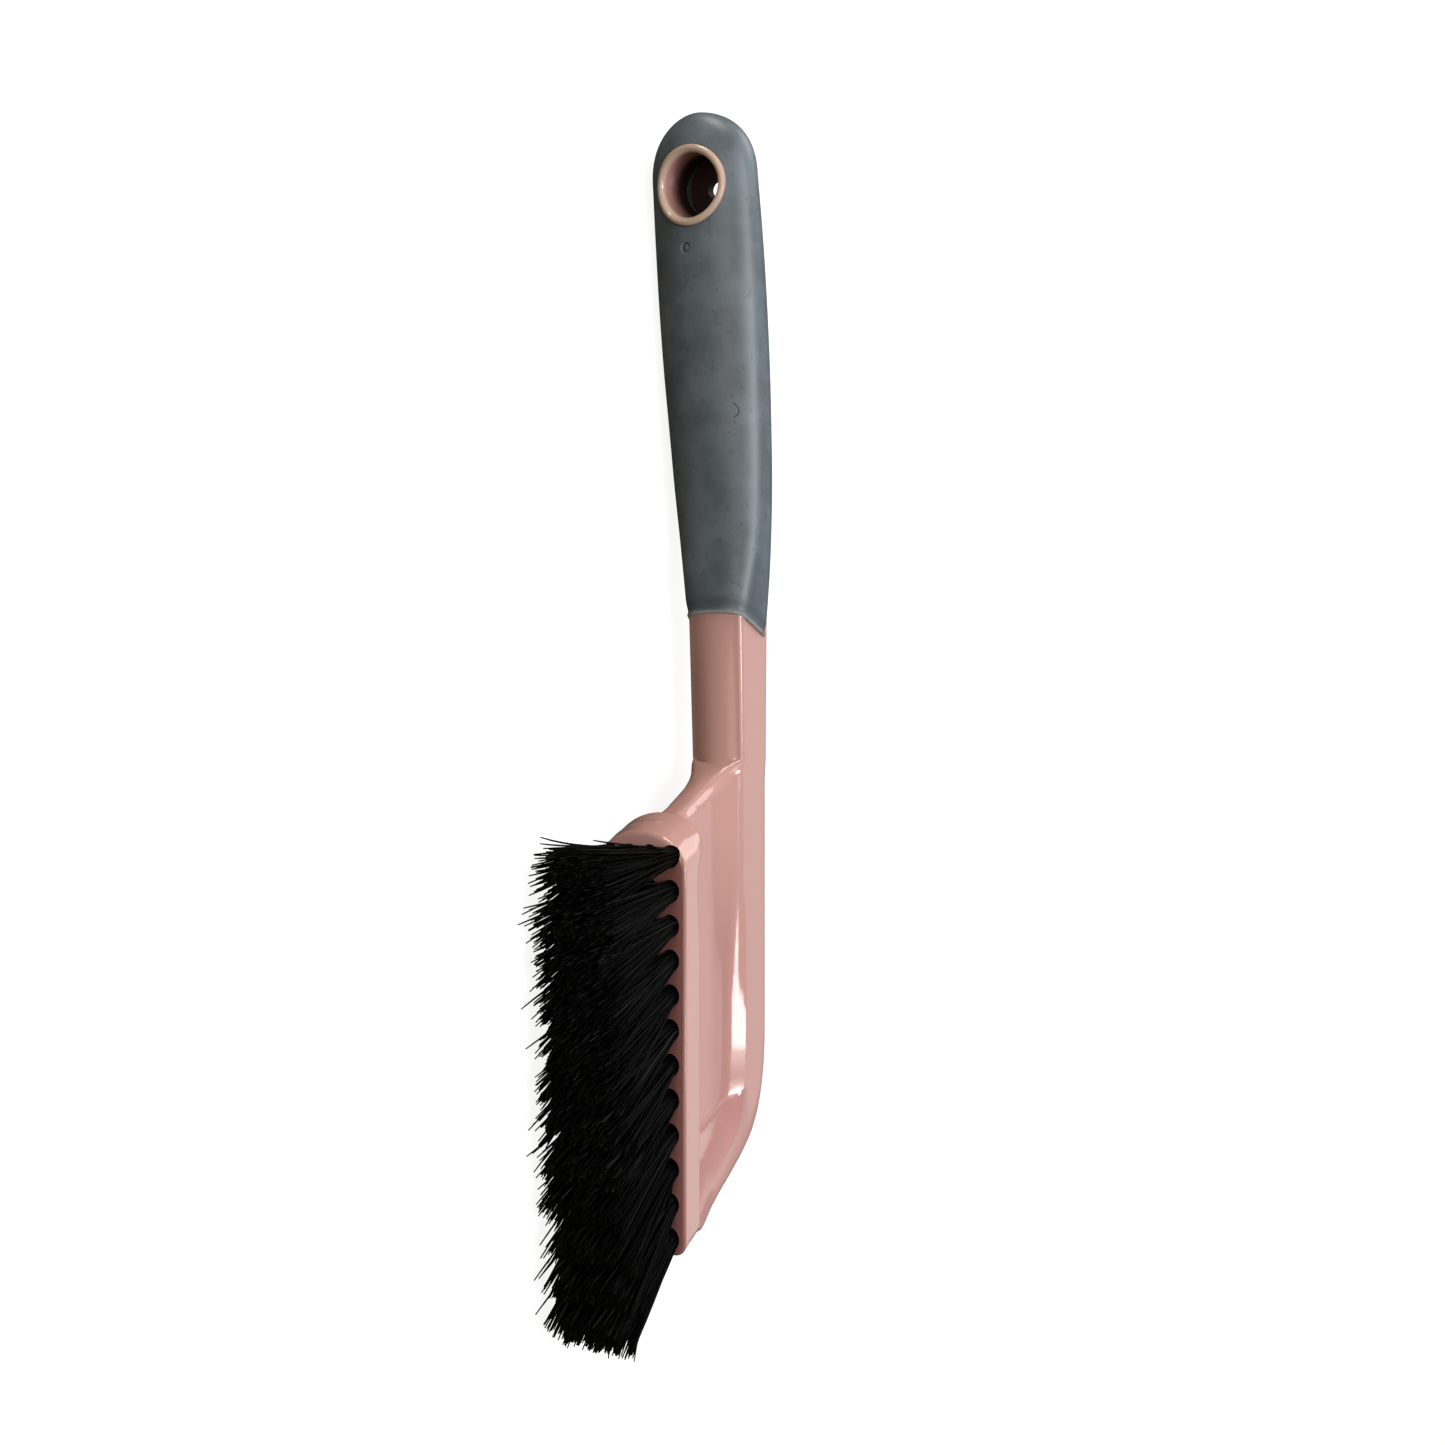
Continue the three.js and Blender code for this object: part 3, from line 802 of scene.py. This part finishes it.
def pink_plastic():
    material, net, place = new_material("dusty_pink_plastic")
    x, y, z = brush_place(net, place)
    cloud = noise(net, place, 28.0, 3.0)
    fine = noise(net, place, 1400.0, 2.0)
    wave = noise(net, place, 70.0, 1.0)
    dimple = noise(net, place, 420.0, 1.0)
    blend = cloud * 0.75 + fine * 0.25
    pink = mix(net, blend, PINK_DEEP, PINK_PALE)

    # painted light: paler sides on the bristle plate; painted shade on the plate's underside between
    # the tufts
    side = fade(net, z.math("ABSOLUTE"), PLATE_HALF - 1.2, PLATE_HALF - 0.3)
    side = side * (1.0 - fade(net, y, PLATE_THICK - 0.5, PLATE_THICK + 0.2))
    pink = mix(net, side, pink, PLATE_SIDE_PAINTED_LIGHT)
    tuft_shade = (1.0 - fade(net, y, 0.2, 0.9)) * fade(net, x, 176.0, 180.0)
    pink = mix(net, tuft_shade * 0.75, pink, PINK_TUFT_SHADE)

    # painted shade at the foot of the rim and on the pocket's toe wall
    foot = fade(net, y, 22.0, 27.0) * (1.0 - fade(net, y, 30.0, 32.5)) * fade(net, x, 180.0, 205.0)
    slope = x - POCKET_TOP[0] + (y - POCKET_TOP[1]) * POCKET_LEAN
    wall = fade(net, slope, 0.0, 1.0) * (1.0 - fade(net, slope, 2.0, 15.0))
    wall = wall * fade(net, y, PLATE_THICK, PLATE_THICK + 1.0)
    foot = foot * (1.0 - fade(net, slope, -0.5, 0.5)) * 0.55
    foot = foot + wall * 0.8 * (1.0 - fade(net, y, 34.0, 37.0))
    foot = foot * (1.0 - fade(net, z.math("ABSOLUTE"), 11.0, 12.0))
    pink = mix(net, foot, pink, PINK_FOOT_SHADE)

    # the hanging hole: painted shade at the far end and on the wall, and a paler warm tint on the lip
    # as a painted sheen
    along_bore = (x - HOLE_X) * BORE.x + (y - HOLE_Y) * BORE.y
    off_x = x - HOLE_X - along_bore * BORE.x
    off_y = y - HOLE_Y - along_bore * BORE.y
    radius = (off_x * off_x + off_y * off_y + z * z) ** 0.5
    inside = 1.0 - fade(net, radius, HOLE_WIDE + 0.3, HOLE_WIDE + 0.8)
    inside = inside * fade(net, along_bore, 4.0, 9.0)
    bore_wall_shade = 1.0 - fade(net, radius, HOLE_WIDE + 0.05, HOLE_WIDE + 0.3)
    bore_wall_shade = bore_wall_shade * fade(net, along_bore, 0.4, 2.0)
    pink = mix(net, bore_wall_shade * 0.4, pink, PINK_WELL_SHADE)
    lip = fade(net, radius, HOLE_WIDE - 0.2, HOLE_WIDE + 0.3)
    lip = lip * (1.0 - fade(net, radius, HOLE_RING + 0.2, HOLE_RING + 0.5))
    lip = lip * (1.0 - fade(net, along_bore, 0.5, 3.0))
    colour = mix(net, lip, mix(net, inside, pink, BORE_PAINTED_SHADE), LIP_PAINTED_SHEEN)

    bump = net.flow("ShaderNodeBump", 0, None,
                    {"Strength": 1.0, "Distance": 1.0, "Height": wave * 0.00003 + dimple * 0.000012})
    rough = 0.08 + cloud * 0.06 + fine * 0.03 + inside * 0.6
    close_material(net, {"Base Color": colour, "Roughness": rough, "Normal": bump},
                   {"Specular IOR Level": 0.5, "IOR": 1.49})
    return material


def grip_rubber():
    material, net, place = new_material("blue_grey_soft_touch")
    x, y, z = brush_place(net, place)
    patch = noise(net, place, 75.0, 4.0, 0.62)
    grain = noise(net, place, 1100.0, 3.0, 0.6)
    speck = fade(net, noise(net, place, 420.0, 1.0), 0.66, 0.74)
    blend = fade(net, patch, 0.32, 0.68) * 0.8 + grain * 0.2
    blue = mix(net, blend, BLUE_DEEP, BLUE_PALE)

    # painted shade in a dark band and a painted highlight along the pale edge where the sleeve ends
    to_end = GRIP_END - x + (y - NECK_LOW) * GRIP_SHEAR
    shade = fade(net, to_end, 0.6, 1.3) * (1.0 - fade(net, to_end, 2.4, 5.0))
    blue = mix(net, shade * 0.5, blue, BLUE_PAINTED_SHADE)
    blue = mix(net, 1.0 - fade(net, to_end, 0.35, 0.75), blue, SLEEVE_EDGE_HIGHLIGHT)

    # a curved nick and the gate mark, both on the underside
    from_nick = ((x - NICK[0]) ** 2.0 + (z - NICK[1]) ** 2.0) ** 0.5
    nick = 1.0 - fade(net, (from_nick - 1.7).math("ABSOLUTE"), 0.08, 0.28)
    nick = nick * fade(net, z, NICK[1] + 0.2, NICK[1] + 0.8) * (1.0 - fade(net, y, 30.0, 31.0))
    from_gate = ((x - GATE[0]) ** 2.0 + (z - GATE[1]) ** 2.0) ** 0.5
    gate = (1.0 - fade(net, from_gate, 0.9, 1.4)) * (1.0 - fade(net, y, 30.0, 31.0))
    mark = nick * 0.75 + gate * 0.55 + speck * 0.3
    colour = mix(net, mark, blue, BLUE_MARK)

    height = patch * 0.00004 + grain * 0.00001 - nick * 0.00012 - speck * 0.00003
    bump = net.flow("ShaderNodeBump", 0, None, {"Strength": 1.0, "Distance": 1.0, "Height": height})
    rough = 0.36 + patch * 0.10 + grain * 0.08
    close_material(net, {"Base Color": colour, "Roughness": rough, "Normal": bump},
                   {"Specular IOR Level": 0.7})
    return material


def black_filament():
    material, net, _ = new_material("black_filament")
    tone = net.node("ShaderNodeAttribute", {"attribute_name": "tone"})
    parts = net.node("ShaderNodeSeparateXYZ", None, {0: Flow(net, tone.outputs["Vector"])})
    pick = Flow(net, parts.outputs[0])
    colour = mix(net, pick**8.0, BLACK_DEEP, BLACK_PALE)
    rough = 0.3 + Flow(net, parts.outputs[1]) * 0.35
    close_material(net, {"Base Color": colour, "Roughness": rough}, {"Specular IOR Level": 0.07})
    return material


def floor_paint():
    material, net, place = new_material("white_floor")
    speck = noise(net, place, 40.0, 2.0)
    colour = mix(net, speck, (0.3, 0.3, 0.3, 1), (0.33, 0.33, 0.33, 1))
    close_material(net, {"Base Color": colour},
                   {"Roughness": 0.9, "Specular IOR Level": 0.1, "Emission Color": (1, 1, 1, 1),
                    "Emission Strength": 0.88})
    return material


# ---- put it together -----------------------------------------------------------------
body = make_body()
body.data.materials.clear()
body.data.materials.append(pink_plastic())
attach(body, "root")
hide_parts("brush_body")

grip = make_grip()
grip.data.materials.clear()
grip.data.materials.append(grip_rubber())
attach(grip, "root")
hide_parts("soft_grip")

tuft_tree = grow_tree()
filament = black_filament()
for row in range(1, TUFT_ROWS + 1):
    bristles, stood_for = grow_row(tuft_tree, row, filament)
    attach(bristles, "root")
    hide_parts(*stood_for)


# ---- floor, light and camera ---------------------------------------------------------
FLOOR_HALF = 4
floor_mesh = bpy.data.meshes.new("floor")
floor_corners = [(x * FLOOR_HALF, y * FLOOR_HALF, 0) for x, y in ((-1, -1), (1, -1), (1, 1), (-1, 1))]
floor_mesh.from_pydata(floor_corners, [], [(0, 1, 2, 3)])
floor = bpy.data.objects.new("floor", floor_mesh)
floor.data.materials.append(floor_paint())
bpy.context.scene.collection.objects.link(floor)
floor.visible_diffuse = floor.visible_glossy = False

TILT = math.radians(58)
RIGHT = Vector((0, math.cos(TILT), math.sin(TILT)))
UP = Vector((-1, 0, 0))
BACK = RIGHT.cross(UP)
AIM = at(147.7, 36.2, 0)
DISTANCE = 0.4444
SENSOR, FOCAL, FRAME = 36, 1800, 1445


def soft_box(name, way, distance, wide, tall, radiance, colour=(1, 1, 1), shift=0.0):
    """A glowing panel that faces the brush; `wide` and `shift` run along the brush."""
    data = bpy.data.lights.new(name, "AREA")
    data.shape, data.size, data.size_y = "RECTANGLE", wide, tall
    data.energy, data.color = radiance * math.pi * wide * tall, colour
    lamp = bpy.data.objects.new(name, data)
    bpy.context.scene.collection.objects.link(lamp)
    spot = AIM + Vector(way).normalized() * distance + Vector((shift, 0, 0))
    aim = AIM + Vector((shift, 0, 0))
    facing = (spot - aim).to_track_quat("Z", "Y").to_matrix().to_4x4()
    lamp.matrix_world = Matrix.Translation(spot) @ facing


def overhead(degrees):
    """Direction at an angle from straight up towards the bristle side."""
    return 0, -math.sin(math.radians(degrees)), math.cos(math.radians(degrees))


soft_box("key", overhead(30), 1.4, 1.0, 0.8, 2.35, (0.96, 0.99, 1.0))
soft_box("handle_key", overhead(76), 1.1, 0.36, 0.3, 5.0, (1.0, 0.96, 0.88), -0.288)
soft_box("long_window", overhead(20), 1.2, 0.66, 0.34, 3.3, (0.98, 0.99, 1.0), -0.29)
soft_box("neck_window", overhead(12), 1.2, 0.2, 0.2, 32, (1.0, 1.0, 0.98), -0.055)
soft_box("slim_window", overhead(10), 1.2, 0.03, 0.2, 16, shift=0.095)
soft_box("toe_window", overhead(10), 1.2, 0.07, 0.2, 26, shift=0.282)
soft_box("under_fill", overhead(68), 1.3, 0.5, 0.5, 1.1, (1.0, 0.82, 0.3), 0.15)
soft_box("spine_side", overhead(-58), 1.2, 0.8, 0.4, 0.9, (0.94, 0.98, 1.0), 0.2)
soft_box("shoulder_side", (-0.68, 0.44, 0.56), 1.2, 0.7, 0.7, 4.4, (0.97, 1.0, 0.97))
soft_box("handle_side", (-0.96, -0.27, 0.05), 1.0, 0.3, 0.3, 15, (1.0, 0.93, 0.8))

# white behind the brush, a dim warm room in its reflections
world = bpy.data.worlds.new("studio")
bpy.context.scene.world = world
world.use_nodes = True
sky = Net(world.node_tree)
world.node_tree.nodes.clear()
seen = sky.flow("ShaderNodeLightPath", "Is Camera Ray")
room = sky.flow("ShaderNodeBackground", 0, None, {"Color": (0.07, 0.056, 0.04, 1), "Strength": 1.0})
paper = sky.flow("ShaderNodeBackground", 0, None, {"Color": (1, 1, 1, 1), "Strength": 1.0})
either = sky.flow("ShaderNodeMixShader", 0, None, {0: seen, 1: room, 2: paper})
sky.node("ShaderNodeOutputWorld", None, {"Surface": either})

camera_data = bpy.data.cameras.new("camera")
camera_data.sensor_width = SENSOR
camera_data.lens = SENSOR * FOCAL / FRAME
camera = bpy.data.objects.new("camera", camera_data)
bpy.context.scene.collection.objects.link(camera)
turn = Matrix((RIGHT, UP, BACK)).transposed().to_4x4()
camera.matrix_world = Matrix.Translation(AIM + BACK * DISTANCE) @ turn
bpy.context.scene.camera = camera
bpy.context.scene.view_settings.view_transform = "Standard"

bpy.context.view_layer.update()
